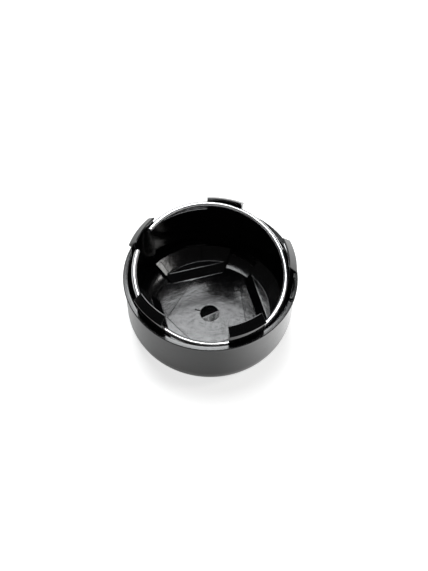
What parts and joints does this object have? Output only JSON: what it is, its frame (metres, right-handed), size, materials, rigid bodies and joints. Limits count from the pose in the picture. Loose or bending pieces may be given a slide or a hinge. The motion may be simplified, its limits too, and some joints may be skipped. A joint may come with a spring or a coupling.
{
  "type": "wheel centre cap",
  "caption": "Deep round snap-in wheel centre cap shown open back up, with barbed clips around the rim and a round steel spring wire inside them.",
  "frame": {"origin": "centre of the flat front face, on the surface the cap lies on", "axes": "+Z along the cap's axis, out of its open back; -Y towards the camera of the picture; +X to its right"},
  "size_m": [0.06, 0.06, 0.0366],
  "materials": {
    "body_black": "glossy moulded black",
    "spring_wire": "bright drawn wire"
  },
  "bodies": {
    "root": {"cap_body": "body_black", "retaining_ring": "spring_wire"}
  },
  "joints": []
}
